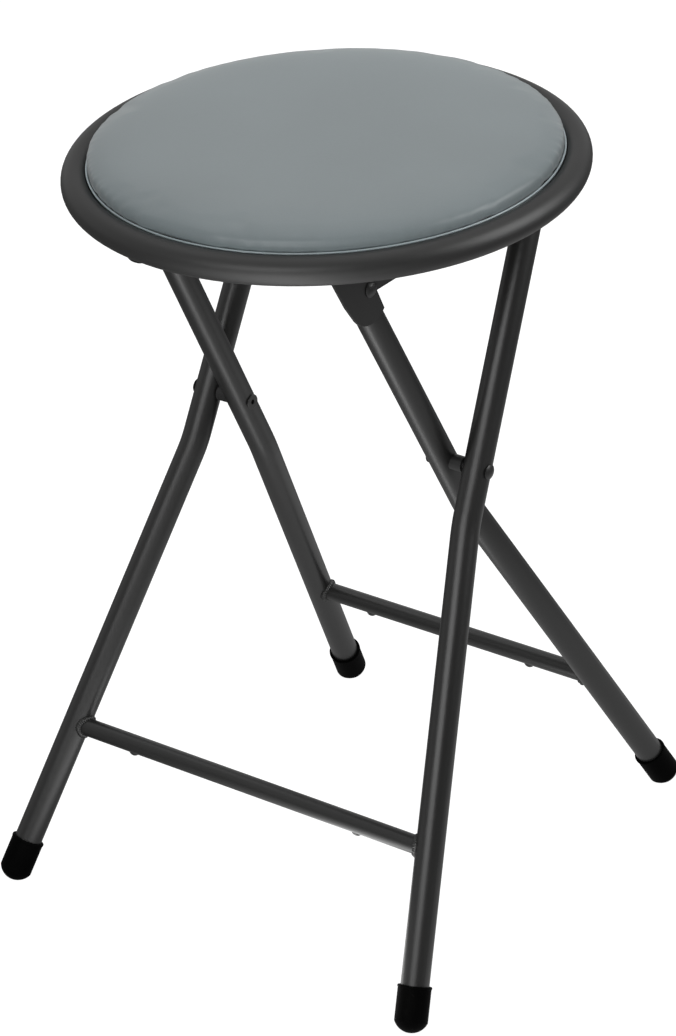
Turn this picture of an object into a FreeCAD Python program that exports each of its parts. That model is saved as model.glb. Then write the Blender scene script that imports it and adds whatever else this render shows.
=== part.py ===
import FreeCAD, Part
import math
import os
import Sketcher

# Folding stool: two crossed pairs of bent tube legs under a round padded seat.
# Millimetres, +Z up, X along the fold's pivots. The origin is on the floor, midway
# between the feet. The frame that stands in front is the outer one, the frame that
# stands at the back passes between its legs and is the inner one.

DRIVING_SIZES = {
    # tubes of the frames and of the seat's rim
    "tube_diameter": 16.6,
    "tube_wall": 1.2,
    "leg_bend_radius": 90.0,
    # outer frame: axis of its right leg at the floor and at the bend, and its cross rod
    "outer_foot_x": 149.4,
    "outer_foot_y": -153.2,
    "outer_bend_x": 99.2,
    "outer_bend_y": -10.8,
    "outer_bend_z": 246.5,
    "rod_y": 83.4,
    "rod_drop": 13.2,
    "outer_leg_overrun": 7.8,
    # inner frame: axis of its right leg at the floor and at the bend, and its seat hinge
    "inner_foot_x": 122.0,
    "inner_foot_y": 153.2,
    "inner_bend_x": 75.5,
    "inner_bend_y": 23.6,
    "inner_bend_z": 236.0,
    "hinge_x": 68.0,
    "hinge_y": -61.9,
    "hinge_drop": 28.0,
    "inner_leg_overrun": 9.0,
    # stretchers between the legs, and the small studs under them
    "stretcher_diameter": 11.0,
    "stretcher_wall": 1.0,
    "outer_stretcher_z": 88.2,
    "inner_stretcher_z": 90.2,
    "stud_radius": 3.6,
    "stud_drop": 2.2,
    "outer_stud_x": 83.0,
    "inner_stud_x": 60.0,
    "stud_shift": 3.3,
    # rubber foot caps
    "cap_wall": 1.35,
    "cap_cup_length": 20.5,
    "cap_sole": 5.6,
    "cap_dome": 6.6,
    "cap_lip": 0.3,
    "cap_lip_height": 1.5,
    # end plugs in the legs' tops
    "plug_depth": 3.2,
    "plug_crown": 1.6,
    # pins and rivets
    "rivet_diameter": 6.0,
    "rivet_head_diameter": 9.0,
    "rivet_head_height": 1.3,
    "rivet_eyelet_height": 0.7,
    "rivet_eyelet_bore": 3.0,
    "rivet_eyelet_depth": 5.0,
    "hinge_head_diameter": 10.0,
    "hinge_head_height": 1.8,
    "spacer_diameter": 9.4,
    "hinge_washer_diameter": 15.0,
    "hinge_washer_thickness": 1.4,
    "rod_diameter": 8.0,
    "rod_head_diameter": 13.0,
    "rod_head_height": 2.5,
    "rod_washer_diameter": 14.0,
    "rod_washer_thickness": 0.9,
    # seat: rim, board, cushion
    "rim_radius": 150.0,
    "rim_z": 442.5,
    "seat_y": 6.8,
    "board_thickness": 7.0,
    "board_lift": 2.5,
    "cushion_skirt_wall": 1.8,
    "cushion_overhang": 1.8,
    "cushion_shoulder_rise": 0.8,
    "cushion_edge_round": 8.0,
    "cushion_crown": 4.0,
    # rails under the seat
    "rail_thickness": 2.0,
    "rail_drop": 3.0,
    "rail_flange_width": 16.0,
    "ear_front": 15.4,
    "ear_rear": 11.2,
    "ear_drop": 13.0,
    "ear_rear_drop": 16.0,
    "ear_round": 17.0,
    "ear_undercut": 5.8,
    "ear_lean": 6.8,
    "brow_lean": 11.8,
    "brow_drop": 9.0,
    "tail_length": 18.0,
    "tail_rise": 22.0,
    "hook_lead": 28.0,
    "hook_flare": 4.0,
    "screw_diameter": 4.0,
    "screw_head_diameter": 8.0,
    "screw_head_height": 2.2,
    "screw_depth": 5.5,
    "screw_front_inset": 60.0,
    "screw_rear_inset": 72.0,
    # clearances
    "weld_gap": 0.05,
    "fit_gap": 0.05,
    "running_gap": 0.08,
    "turning_gap": 0.6,
    "head_gap": 0.3,
    "side_gap": 0.4,
    "cushion_gap": 0.75,
    "hook_gap": 0.5,
}

LEG_SIDES = ("left", "right")
ALONG_X = FreeCAD.Rotation(FreeCAD.Vector(0, 1, 0), 90)
TOOL_REACH = 60.0
START, END, CENTRE = 1, 2, 3


class Size:
    """A length or angle that carries its expression for the document and its value."""

    def __init__(self, text, value):
        self.text = text
        self.value = value

    def join(self, sign, other, value):
        return Size(f"({self.text} {sign} {as_size(other).text})", value)

    def __add__(self, other):
        return self.join("+", other, self.value + as_size(other).value)

    def __sub__(self, other):
        return self.join("-", other, self.value - as_size(other).value)

    def __mul__(self, other):
        return self.join("*", other, self.value * as_size(other).value)

    def __truediv__(self, other):
        return self.join("/", other, self.value / as_size(other).value)

    def __neg__(self):
        return Size(f"(0 - {self.text})", -self.value)


def as_size(number):
    return number if isinstance(number, Size) else Size(repr(float(number)), float(number))


def root(size):
    return Size(f"sqrt({size.text})", math.sqrt(size.value))


def sine(size):
    return Size(f"sin({size.text})", math.sin(math.radians(size.value)))


def cosine(size):
    return Size(f"cos({size.text})", math.cos(math.radians(size.value)))


def tangent(size):
    return Size(f"tan({size.text})", math.tan(math.radians(size.value)))


def arc_cosine(size):
    return Size(f"acos({size.text})", math.degrees(math.acos(size.value)))


doc = FreeCAD.newDocument("FoldingStool")
sizes = doc.addObject("Spreadsheet::Sheet", "Sizes")
places = doc.addObject("Spreadsheet::Sheet", "Places")
ZERO = as_size(0)


def fill_sizes():
    """Put the driving sizes into the sheet, and return them by name."""
    named = {}
    for row, (alias, value) in enumerate(DRIVING_SIZES.items(), start=1):
        sizes.set(f"A{row}", alias)
        sizes.set(f"B{row}", str(value))
        sizes.setAlias(f"B{row}", alias)
        named[alias] = Size(f"Sizes.{alias}", value)
    return named


def place(alias, size):
    """Keep a worked-out length or angle in the second sheet, under its own name."""
    row = len(place.rows) + 1
    place.rows.append(alias)
    places.set(f"A{row}", alias)
    places.set(f"B{row}", f"={size.text}")
    places.setAlias(f"B{row}", alias)
    return Size(f"Places.{alias}", size.value)


place.rows = []
S = fill_sizes()
doc.recompute()


# points and lines of the frames

def vector(point):
    return FreeCAD.Vector(*[coordinate.value for coordinate in point])


def difference(end, start):
    return [a - b for a, b in zip(end, start)]


def dot(first, second):
    total = first[0] * second[0]
    for a, b in zip(first[1:], second[1:]):
        total = total + a * b
    return total


class Leg:
    """The axis of a right-hand leg: straight from the floor to its bend, then to its top."""

    def __init__(self, name, foot, bend, top, overrun):
        self.name = name
        self.foot, self.bend, self.top = foot, bend, top
        lower, upper = difference(bend, foot), difference(top, bend)
        self.lower_length = place(f"{name}_lower_length", root(dot(lower, lower)))
        self.upper_length = place(f"{name}_upper_length", root(dot(upper, upper)))
        turn = arc_cosine(dot(lower, upper) / (self.lower_length * self.upper_length))
        self.turn = place(f"{name}_turn", turn)
        self.overrun = overrun

    def low_point(self, height):
        share = height / self.bend[2]
        x = self.foot[0] + (self.bend[0] - self.foot[0]) * share
        y = self.foot[1] + (self.bend[1] - self.foot[1]) * share
        return [x, y, height]

    def high_x(self, height):
        share = (height - self.bend[2]) / (self.top[2] - self.bend[2])
        return self.bend[0] + (self.top[0] - self.bend[0]) * share

    def high_slope(self):
        return (self.top[1] - self.bend[1]) / (self.top[2] - self.bend[2])

    def low_frame(self, along):
        """Placement on the lower axis, its Z along it and its X towards the bend's inside."""
        z_axis = (vector(self.bend) - vector(self.foot)).normalize()
        upper = (vector(self.top) - vector(self.bend)).normalize()
        x_axis = (upper - z_axis * upper.dot(z_axis)).normalize()
        turn = FreeCAD.Rotation(x_axis, z_axis.cross(x_axis), z_axis, "ZXY")
        return FreeCAD.Placement(vector(self.foot) + z_axis * along.value, turn)

    def high_frame(self, along):
        """Placement on the upper axis, measured from its top point, with Z along it."""
        z_axis = (vector(self.top) - vector(self.bend)).normalize()
        turn = FreeCAD.Rotation(FreeCAD.Vector(0, 0, 1), z_axis)
        return FreeCAD.Placement(vector(self.top) + z_axis * along.value, turn)


# heights under the seat, and the widths that stack up from the seat hinge outwards
tube_radius = S["tube_diameter"] / 2
bore_radius = tube_radius - S["tube_wall"]
rim_centre_radius = place("rim_centre_radius", S["rim_radius"] - tube_radius)
rim_inner_radius = place("rim_inner_radius", rim_centre_radius - tube_radius)
skirt_radius = place("skirt_radius", rim_inner_radius - S["cushion_gap"])
board_radius = place("board_radius", skirt_radius - S["cushion_skirt_wall"] - S["fit_gap"])
board_z = place("board_z", S["rim_z"] - S["board_lift"])
hinge_z = place("hinge_z", board_z - S["hinge_drop"])
rod_z = place("rod_z", board_z - S["rod_drop"])
hinge_washer_x = place("hinge_washer_x", S["hinge_x"] + tube_radius + S["turning_gap"])
rail_inner_x = place(
    "rail_inner_x", hinge_washer_x + S["hinge_washer_thickness"] + S["side_gap"]
)
rail_outer_x = place("rail_outer_x", rail_inner_x + S["rail_thickness"])
rod_washer_x = place("rod_washer_x", rail_outer_x + S["side_gap"])
rod_x = place("rod_x", rod_washer_x + S["rod_washer_thickness"] + S["side_gap"] + tube_radius)

outer_leg_axis = Leg(
    "outer",
    [S["outer_foot_x"], S["outer_foot_y"], ZERO],
    [S["outer_bend_x"], S["outer_bend_y"], S["outer_bend_z"]],
    [rod_x, S["rod_y"], rod_z],
    S["outer_leg_overrun"],
)
inner_leg_axis = Leg(
    "inner",
    [S["inner_foot_x"], S["inner_foot_y"], ZERO],
    [S["inner_bend_x"], S["inner_bend_y"], S["inner_bend_z"]],
    [S["hinge_x"], S["hinge_y"], hinge_z],
    S["inner_leg_overrun"],
)

# The main pivot is where the two upper leg axes cross in the side view.
outer_slope = place("outer_slope", outer_leg_axis.high_slope())
inner_slope = place("inner_slope", inner_leg_axis.high_slope())
outer_start = S["outer_bend_y"] - outer_slope * S["outer_bend_z"]
inner_start = S["inner_bend_y"] - inner_slope * S["inner_bend_z"]
pivot_z = place("pivot_z", (inner_start - outer_start) / (outer_slope - inner_slope))
pivot_y = place("pivot_y", outer_start + outer_slope * pivot_z)
outer_pivot_x = place("outer_pivot_x", outer_leg_axis.high_x(pivot_z))
inner_pivot_x = place("inner_pivot_x", inner_leg_axis.high_x(pivot_z))


# sketches and features

def origin_plane(body, role):
    return next(item for item in body.Origin.OriginFeatures if item.Role == role)


def put(item, x, y, z, turn=None):
    """Stand a piece at a point that the document works out from its sizes."""
    item.Placement = FreeCAD.Placement(vector((x, y, z)), turn or FreeCAD.Rotation())
    for axis, size in zip("xyz", (x, y, z)):
        item.setExpression(f"Placement.Base.{axis}", size.text)
    return item


def new_sketch(body, name, role):
    sketch = body.newObject("Sketcher::SketchObject", name)
    sketch.AttachmentSupport = [(origin_plane(body, role), "")]
    sketch.MapMode = "FlatFace"
    return sketch


def bind(sketch, kind, place_of, size, label):
    index = sketch.addConstraint(Sketcher.Constraint(kind, *place_of, size.value))
    sketch.renameConstraint(index, label)
    sketch.setExpression(f"Constraints.{label}", size.text)


def fix_point(sketch, edge, end, x, y):
    """Hold one end of an edge at a point whose coordinates are sizes."""
    if x.text == ZERO.text:
        sketch.addConstraint(Sketcher.Constraint("PointOnObject", edge, end, -2))
    else:
        bind(sketch, "DistanceX", (-1, 1, edge, end), x, f"x_{edge}_{end}")
    if y.text == ZERO.text:
        sketch.addConstraint(Sketcher.Constraint("PointOnObject", edge, end, -1))
    else:
        bind(sketch, "DistanceY", (-1, 1, edge, end), y, f"y_{edge}_{end}")


def arc_middle(start, end, radius):
    """The middle of an arc from start to end; a positive radius bulges to the right."""
    chord = end - start
    half = chord.Length / 2
    sagitta = abs(radius) - math.sqrt(max(radius * radius - half * half, 0.0))
    right = FreeCAD.Vector(chord.y, -chord.x, 0).normalize()
    return (start + end) / 2 + right * math.copysign(sagitta, radius)


def outline(sketch, corners, closed=True):
    """Draw lines and arcs through corners (x, y) or (x, y, signed radius to the next)."""
    count = len(corners)
    spans = count if closed else count - 1
    points = [FreeCAD.Vector(corner[0].value, corner[1].value, 0) for corner in corners]
    ends = []
    for index in range(spans):
        start, end = points[index], points[(index + 1) % count]
        if len(corners[index]) == 3:
            middle = arc_middle(start, end, corners[index][2].value)
            edge = sketch.addGeometry(Part.Arc(start, middle, end))
        else:
            edge = sketch.addGeometry(Part.LineSegment(start, end))
        first_gap = (sketch.getPoint(edge, START) - start).Length
        last_gap = (sketch.getPoint(edge, END) - start).Length
        ends.append((edge, START, END) if first_gap < last_gap else (edge, END, START))
    for index in range(spans if closed else spans - 1):
        edge, _, last = ends[index]
        following, first, _ = ends[(index + 1) % spans]
        sketch.addConstraint(Sketcher.Constraint("Coincident", edge, last, following, first))
    for index, (edge, first, _) in enumerate(ends):
        fix_point(sketch, edge, first, corners[index][0], corners[index][1])
        if len(corners[index]) == 3:
            radius = corners[index][2]
            size = radius if radius.value > 0 else -radius
            bind(sketch, "Radius", (edge,), size, f"radius_{edge}")
    if not closed:
        edge, _, last = ends[-1]
        fix_point(sketch, edge, last, corners[-1][0], corners[-1][1])
    return sketch


def circle(sketch, x, y, radius):
    """Draw a circle whose centre and radius are sizes."""
    centre = FreeCAD.Vector(x.value, y.value, 0)
    edge = sketch.addGeometry(Part.Circle(centre, FreeCAD.Vector(0, 0, 1), radius.value))
    bind(sketch, "Radius", (edge,), radius, f"radius_{edge}")
    fix_point(sketch, edge, CENTRE, x, y)
    return sketch


def new_body(name):
    body = doc.addObject("PartDesign::Body", name)
    body.Label = name
    return body


def revolved(name, corners):
    """A body turned about its Z axis from a half outline of (radius, height) corners."""
    body = new_body(name)
    profile = outline(new_sketch(body, f"{name}_profile", "XZ_Plane"), corners)
    doc.recompute()
    turned = body.newObject("PartDesign::Revolution", f"{name}_turned")
    turned.Profile = profile
    turned.ReferenceAxis = (profile, ["V_Axis"])
    turned.Angle = 360
    return body


def set_sizes(item, **wanted):
    for prop, size in wanted.items():
        item.setExpression(prop, as_size(size).text)
    return item


def cylinder(name, radius, height):
    rod = doc.addObject("Part::Cylinder", name)
    return set_sizes(rod, Radius=radius, Height=height)


def x_cylinder(name, radius, start_x, end_x, y, z):
    """A cylinder along X between two planes."""
    return put(cylinder(name, radius, end_x - start_x), start_x, y, z, ALONG_X)


def leg_cylinder(name, radius, length, frame):
    """A cylinder along one straight run of a leg."""
    rod = cylinder(name, radius, length)
    rod.Placement = frame
    return rod


def cut(name, base, tools):
    """The base with one or more tools taken away."""
    result = doc.addObject("Part::Cut", name)
    result.Label = name
    result.Base = base
    result.Tool = tools[0] if len(tools) == 1 else joined(f"{name}_tools", tools)
    return result


def joined(name, pieces):
    fused = doc.addObject("Part::MultiFuse", name)
    fused.Shapes = pieces
    return fused


def mirrored(name, source):
    """The same piece on the other side of the stool."""
    twin = doc.addObject("Part::Mirroring", name)
    twin.Label = name
    twin.Source = source
    twin.Normal = FreeCAD.Vector(1, 0, 0)
    return twin


def group(name, pieces):
    together = doc.addObject("Part::Compound", name)
    together.Label = name
    together.Links = pieces
    return together


nodes = {}


def keep(item):
    nodes[item.Label] = item
    return item


def keep_pair(name, right):
    """Keep a right-hand piece and its left-hand twin."""
    right.Label = f"{name}_right"
    keep(right)
    return keep(mirrored(f"{name}_left", right))


# tubes, caps and plugs of the two frames

def bent_tube(leg):
    """The leg's tube before its holes: a ring swept up one bend."""
    body = new_body(f"{leg.name}_tube")
    section = new_sketch(body, f"{leg.name}_section", "XY_Plane")
    circle(section, ZERO, ZERO, tube_radius)
    circle(section, ZERO, ZERO, bore_radius)
    radius = S["leg_bend_radius"]
    trim = place(f"{leg.name}_trim", radius * tangent(leg.turn / 2))
    lower_end = leg.lower_length - S["cap_sole"] - trim
    arc_x = radius * (as_size(1) - cosine(leg.turn))
    arc_y = lower_end + radius * sine(leg.turn)
    straight = leg.upper_length - trim + leg.overrun
    path = new_sketch(body, f"{leg.name}_path", "XZ_Plane")
    corners = [
        (ZERO, ZERO),
        (ZERO, lower_end, -radius),
        (arc_x, arc_y),
        (arc_x + straight * sine(leg.turn), arc_y + straight * cosine(leg.turn)),
    ]
    outline(path, corners, closed=False)
    doc.recompute()
    tube = body.newObject("PartDesign::AdditivePipe", f"{leg.name}_sweep")
    tube.Profile = section
    tube.Spine = (path, ["Edge1", "Edge2", "Edge3"])
    body.Placement = leg.low_frame(S["cap_sole"])
    return body


def leg_tube(leg, pivot_x, pivot_bore, top_bore):
    """A leg with its cross holes for the main pivot and for its top pin."""
    reach = as_size(TOOL_REACH / 2)
    pivot_hole = x_cylinder(
        f"{leg.name}_pivot_hole", pivot_bore, pivot_x - reach, pivot_x + reach, pivot_y, pivot_z
    )
    top_x, top_y, top_z = leg.top
    top_hole = x_cylinder(
        f"{leg.name}_top_hole", top_bore, top_x - reach, top_x + reach, top_y, top_z
    )
    return cut(f"{leg.name}_leg", bent_tube(leg), [pivot_hole, top_hole])


def floor_slab(name):
    """A block under the floor plane, to cut the soles flat."""
    slab = doc.addObject("Part::Box", name)
    width = S["outer_foot_x"] * 4
    set_sizes(slab, Length=width, Width=width, Height=as_size(TOOL_REACH))
    return put(slab, -width / 2, -width / 2, as_size(-TOOL_REACH))


def foot_cap(leg):
    """A rubber cup over the tube's end, with a domed end cut flat at the floor."""
    bore = tube_radius + S["fit_gap"]
    wall = bore + S["cap_wall"]
    lip = wall + S["cap_lip"]
    top = S["cap_cup_length"]
    lip_height = S["cap_lip_height"]
    dome = S["cap_dome"]
    dome_radius = (wall * wall + dome * dome) / (dome * 2)
    corners = [
        (ZERO, -dome, dome_radius),
        (wall, ZERO),
        (wall, top - lip_height),
        (lip, top - lip_height + S["cap_lip"]),
        (lip, top - S["cap_lip"]),
        (wall, top),
        (bore, top),
        (bore, -S["fit_gap"]),
        (ZERO, -S["fit_gap"]),
    ]
    cup = revolved(f"{leg.name}_cup", corners)
    cup.Placement = leg.low_frame(S["cap_sole"])
    return cut(f"{leg.name}_foot_cap", cup, [floor_slab(f"{leg.name}_floor")])


def end_plug(leg):
    """A domed plastic plug that closes the tube's top end."""
    stem = bore_radius - S["fit_gap"]
    crown = S["plug_crown"]
    edge = crown / 2
    flange = tube_radius - S["fit_gap"]
    dome_height = crown - edge
    dome_radius = (flange * flange + dome_height * dome_height) / (dome_height * 2)
    corners = [
        (ZERO, -S["plug_depth"]),
        (stem, -S["plug_depth"]),
        (stem, S["fit_gap"]),
        (flange, S["fit_gap"]),
        (flange, edge, dome_radius),
        (ZERO, crown),
    ]
    plug = revolved(f"{leg.name}_plug", corners)
    plug.Placement = leg.high_frame(leg.overrun)
    return plug


def stretcher(leg, height):
    """A thin tube between the two legs of a frame, its ends shaped to the legs."""
    reach_x, y, z = leg.low_point(height)
    outer_radius = S["stretcher_diameter"] / 2
    name = f"{leg.name}_stretcher"
    bar = x_cylinder(f"{name}_bar", outer_radius, -reach_x, reach_x, y, z)
    bore = x_cylinder(f"{name}_bore", outer_radius - S["stretcher_wall"], -reach_x, reach_x, y, z)
    frame = leg.low_frame(ZERO)
    right = leg_cylinder(f"{name}_cope", tube_radius + S["weld_gap"], leg.lower_length, frame)
    left = mirrored(f"{name}_cope_left", right)
    return cut(name, bar, [bore, right, left])


def stretcher_studs(leg, height):
    """Two small rounded studs under a stretcher, set a little off its middle."""
    reach_x, y, z = leg.low_point(height)
    outer_radius = S["stretcher_diameter"] / 2
    name = f"{leg.name}_stud"
    bar = x_cylinder(f"{name}_bar", outer_radius + S["weld_gap"], -reach_x, reach_x, y, z)
    stud_z = z - outer_radius - S["stud_drop"] + S["stud_radius"]
    stud_x = S[f"{leg.name}_stud_x"]
    pieces = []
    for side, x in zip(LEG_SIDES, (-stud_x, stud_x)):
        ball = doc.addObject("Part::Sphere", f"{name}_ball_{side}")
        set_sizes(ball, Radius=S["stud_radius"])
        put(ball, x - S["stud_shift"], y, stud_z)
        pieces.append(cut(f"{name}_{side}", ball, [bar]))
    return group(f"{leg.name}_stretcher_studs", pieces)


# pins, rivets and washers, all along X

def headed_pin(name, radius, length, head_radius, head_height, start_x, y, z):
    """A pin with a domed head at both ends; start_x is under its first head."""
    dome_radius = (head_radius * head_radius + head_height * head_height) / (head_height * 2)
    corners = [
        (ZERO, -head_height, dome_radius),
        (head_radius, ZERO),
        (radius, ZERO),
        (radius, length),
        (head_radius, length, dome_radius),
        (ZERO, length + head_height),
    ]
    return put(revolved(name, corners), start_x, y, z, ALONG_X)


def pivot_rivet():
    """The rivet that the two frames turn on: a rolled eyelet inside, a domed head outside."""
    start = inner_pivot_x - tube_radius - S["head_gap"]
    length = outer_pivot_x + tube_radius + S["head_gap"] - start
    head = S["rivet_head_diameter"] / 2
    radius = S["rivet_diameter"] / 2
    bore = S["rivet_eyelet_bore"] / 2
    lip = S["rivet_eyelet_height"]
    round_edge = lip / 2
    dome = S["rivet_head_height"]
    dome_radius = (head * head + dome * dome) / (dome * 2)
    corners = [
        (ZERO, S["rivet_eyelet_depth"]),
        (bore, S["rivet_eyelet_depth"]),
        (bore, -round_edge, round_edge),
        (bore + round_edge, -lip),
        (head - round_edge, -lip, round_edge),
        (head, -round_edge),
        (head, ZERO),
        (radius, ZERO),
        (radius, length),
        (head, length, dome_radius),
        (ZERO, length + dome),
    ]
    return put(revolved("pivot_rivet", corners), start, pivot_y, pivot_z, ALONG_X)


def pivot_spacer():
    """A bush that keeps the crossing tubes apart, shaped to the inner leg."""
    leg = inner_leg_axis
    end = outer_pivot_x - tube_radius - S["turning_gap"]
    bush = x_cylinder("spacer_bush", S["spacer_diameter"] / 2, inner_pivot_x, end, pivot_y, pivot_z)
    frame = leg.high_frame(-leg.upper_length)
    tube = leg_cylinder("spacer_cope", tube_radius + S["weld_gap"], leg.upper_length, frame)
    bore = x_cylinder(
        "spacer_bore", S["rivet_diameter"] / 2 + S["fit_gap"], inner_pivot_x, end, pivot_y, pivot_z
    )
    return cut("pivot_spacer", bush, [tube, bore])


def hinge_rivet():
    """The rivet that joins a rail's ear to the inner leg's top."""
    start = S["hinge_x"] - tube_radius - S["turning_gap"]
    end = rail_outer_x + S["side_gap"]
    head = S["hinge_head_diameter"] / 2
    return headed_pin(
        "hinge_rivet", S["rivet_diameter"] / 2, end - start, head,
        S["hinge_head_height"], start, S["hinge_y"], hinge_z,
    )


def washer(name, radius, bore, start_x, thickness, y, z):
    end_x = start_x + thickness
    disc = x_cylinder(f"{name}_disc", radius, start_x, end_x, y, z)
    hole = x_cylinder(f"{name}_hole", bore, start_x, end_x, y, z)
    return cut(name, disc, [hole])


def hinge_washer():
    return washer(
        "hinge_washer", S["hinge_washer_diameter"] / 2, S["rivet_diameter"] / 2 + S["fit_gap"],
        hinge_washer_x, S["hinge_washer_thickness"], S["hinge_y"], hinge_z,
    )


def rod_washer():
    return washer(
        "rod_washer", S["rod_washer_diameter"] / 2, S["rod_diameter"] / 2 + S["fit_gap"],
        rod_washer_x, S["rod_washer_thickness"], S["rod_y"], rod_z,
    )


def cross_rod():
    """The rod through both outer legs' tops, on which the rails' hooks rest."""
    reach = rod_x + tube_radius + S["side_gap"]
    return headed_pin(
        "cross_rod", S["rod_diameter"] / 2, reach * 2, S["rod_head_diameter"] / 2,
        S["rod_head_height"], -reach, S["rod_y"], rod_z,
    )


# seat

def centre_on_seat(item, height):
    return put(item, ZERO, S["seat_y"], height)


def torus(name, tube):
    ring = doc.addObject("Part::Torus", name)
    set_sizes(ring, Radius1=rim_centre_radius, Radius2=tube)
    return centre_on_seat(ring, S["rim_z"])


def seat_rim():
    """The round tube that frames the cushion."""
    skin = torus("rim_skin", tube_radius)
    hollow = torus("rim_hollow", tube_radius - S["tube_wall"])
    return cut("seat_rim", skin, [hollow])


def seat_cushion():
    """Foam and cover over the board: a skirt, drawn in, a round shoulder and a low crown."""
    top = S["board_thickness"] + S["fit_gap"]
    inside = board_radius + S["fit_gap"]
    shoulder = rim_inner_radius + S["cushion_overhang"]
    rise = S["board_lift"] + tube_radius + S["cushion_shoulder_rise"]
    edge = S["cushion_edge_round"]
    crown = S["cushion_crown"]
    flat = shoulder - edge
    crown_radius = (flat * flat + crown * crown) / (crown * 2)
    corners = [
        (ZERO, top),
        (inside, top),
        (inside, ZERO),
        (skirt_radius, ZERO),
        (skirt_radius, top - S["cushion_skirt_wall"]),
        (shoulder, rise, edge),
        (flat, rise + edge, crown_radius),
        (ZERO, rise + edge + crown),
    ]
    return centre_on_seat(revolved("seat_cushion", corners), board_z)


def rail_outline():
    """The side view of a rail: an ear for the hinge in front, a tail up to the rim behind."""
    top = board_z
    bottom = hinge_z - S["rail_drop"]
    ear_front = S["hinge_y"] - S["ear_front"]
    ear_rear = S["hinge_y"] + S["ear_rear"]
    ear_z = hinge_z - S["ear_drop"]
    front = ear_front - S["ear_lean"]
    brow = front - S["brow_lean"]
    rear = S["seat_y"] + rim_centre_radius
    tail = S["rod_y"] + S["tail_length"]
    return [
        (-rim_centre_radius, top),
        (brow, top - S["brow_drop"]),
        (front, bottom),
        (ear_front, ear_z, S["ear_round"]),
        (ear_rear, hinge_z - S["ear_rear_drop"]),
        (ear_rear - S["ear_undercut"], bottom),
        (tail, bottom),
        (rear, bottom + S["tail_rise"]),
        (rear, top),
    ]


def hook_mouth():
    """The open notch by which a rail hangs on the cross rod: a funnel down and forward."""
    half = S["rod_diameter"] / 2 + S["hook_gap"]
    start = rail_inner_x - S["rod_diameter"]
    end = rail_outer_x + S["rod_diameter"]
    pieces = [x_cylinder("hook_seat", half, start, end, S["rod_y"], rod_z)]
    leans = (S["hook_lead"] - S["hook_flare"], S["hook_lead"] + S["hook_flare"])
    for side, lean in zip(("steep", "slack"), leans):
        wall = doc.addObject("Part::Box", f"hook_{side}_side")
        set_sizes(wall, Length=end - start, Width=half * 2, Height=as_size(TOOL_REACH))
        corner_y = S["rod_y"] - half * cosine(lean) - sine(lean) * TOOL_REACH
        corner_z = rod_z + half * sine(lean) - cosine(lean) * TOOL_REACH
        turn = FreeCAD.Rotation(FreeCAD.Vector(1, 0, 0), -lean.value)
        pieces.append(put(wall, start, corner_y, corner_z, turn))
    return joined("hook_mouth", pieces)


def seat_rail():
    """A bent sheet rail from the rim's front to its back, with a flange under the board."""
    body = new_body("rail_sheet")
    side = outline(new_sketch(body, "rail_side", "YZ_Plane"), rail_outline())
    doc.recompute()
    web = body.newObject("PartDesign::Pad", "rail_web")
    web.Profile = side
    set_sizes(web, Length=S["rail_thickness"])
    half = rim_centre_radius
    flange = new_sketch(body, "rail_flange_side", "XZ_Plane")
    width = S["rail_flange_width"]
    corners = [
        (-width, board_z - S["rail_thickness"]),
        (S["rail_thickness"], board_z - S["rail_thickness"]),
        (S["rail_thickness"], board_z),
        (-width, board_z),
    ]
    outline(flange, corners)
    doc.recompute()
    shelf = body.newObject("PartDesign::Pad", "rail_shelf")
    shelf.Profile = flange
    shelf.Midplane = True
    set_sizes(shelf, Length=half * 2)
    put(body, rail_inner_x, ZERO, ZERO)
    hinge_hole = x_cylinder(
        "rail_hinge_hole", S["rivet_diameter"] / 2 + S["running_gap"],
        rail_inner_x - as_size(TOOL_REACH / 2), rail_inner_x + as_size(TOOL_REACH / 2),
        S["hinge_y"], hinge_z,
    )
    holes = [screw_hole(f"rail_screw_hole_{number}", y) for number, y in enumerate(screw_rows())]
    trimmed = rim_trimmed("rail_trimmed", body)
    return cut("seat_rail", trimmed, [hinge_hole, hook_mouth()] + holes)


def rim_trimmed(name, body):
    """The rail cut to the inside of the rim, which it is welded to."""
    inside = cylinder(f"{name}_inside", rim_centre_radius, as_size(TOOL_REACH * 2))
    centre_on_seat(inside, S["rim_z"] - TOOL_REACH)
    kept = doc.addObject("Part::Common", f"{name}_kept")
    kept.Base = body
    kept.Tool = inside
    return cut(name, kept, [torus(f"{name}_rim", tube_radius + S["weld_gap"])])


def screw_rows():
    return (S["seat_y"] - S["screw_front_inset"], S["seat_y"] + S["screw_rear_inset"])


def on_flange(item, y):
    """Stand a screw, or its hole, up through the middle of a rail's flange."""
    x = rail_inner_x - S["rail_flange_width"] / 2
    return put(item, x, y, board_z - S["rail_thickness"])


def screw_hole(name, y):
    depth = S["rail_thickness"] + S["screw_depth"] + S["fit_gap"]
    return on_flange(cylinder(name, S["screw_diameter"] / 2 + S["fit_gap"], depth), y)


def board_screw(name, y):
    """A pan-head screw from under the rail's flange into the board."""
    head = S["screw_head_diameter"] / 2
    shank = S["screw_diameter"] / 2
    height = S["screw_head_height"]
    dome_radius = (head * head + height * height) / (height * 2)
    corners = [
        (ZERO, -height, dome_radius),
        (head, ZERO),
        (shank, ZERO),
        (shank, S["rail_thickness"] + S["screw_depth"]),
        (ZERO, S["rail_thickness"] + S["screw_depth"]),
    ]
    return on_flange(revolved(name, corners), y)


def board_screws():
    pieces = []
    for number, y in enumerate(screw_rows(), start=1):
        right = board_screw(f"screw_{number}", y)
        pieces += [right, mirrored(f"screw_{number}_left", right)]
    return group("board_screws", pieces)


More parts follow.
